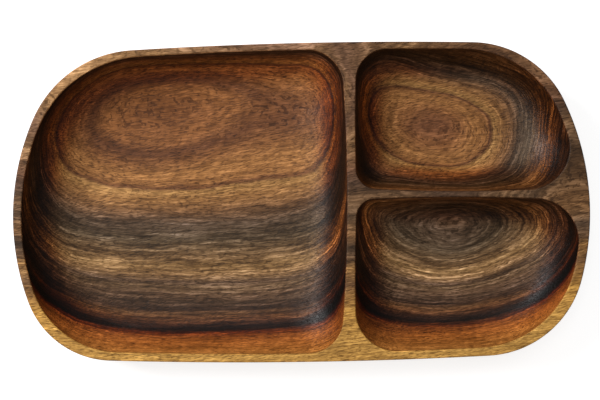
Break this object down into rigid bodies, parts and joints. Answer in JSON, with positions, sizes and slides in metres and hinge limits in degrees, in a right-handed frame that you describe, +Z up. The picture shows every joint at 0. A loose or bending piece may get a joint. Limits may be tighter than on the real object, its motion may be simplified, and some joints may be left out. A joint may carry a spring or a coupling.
{
  "type": "chip and dip server",
  "caption": "Long oval tray carved from one block of dark grained wood, with a large basin for chips at the left end and two small dip basins side by side at the right end.",
  "frame": {"origin": "on the surface the tray stands on, under the middle of its length and width", "axes": "+X along the length, from the chip basin towards the dip basins; +Y across, towards the back; +Z up, out of the basins"},
  "size_m": [0.457, 0.254, 0.048],
  "materials": {
    "rain_tree_wood": "satin food-safe oil or lacquer over banded brown heartwood, golden sapwood along the front"
  },
  "bodies": {
    "root": {"carved_tray": "rain_tree_wood"}
  },
  "joints": []
}
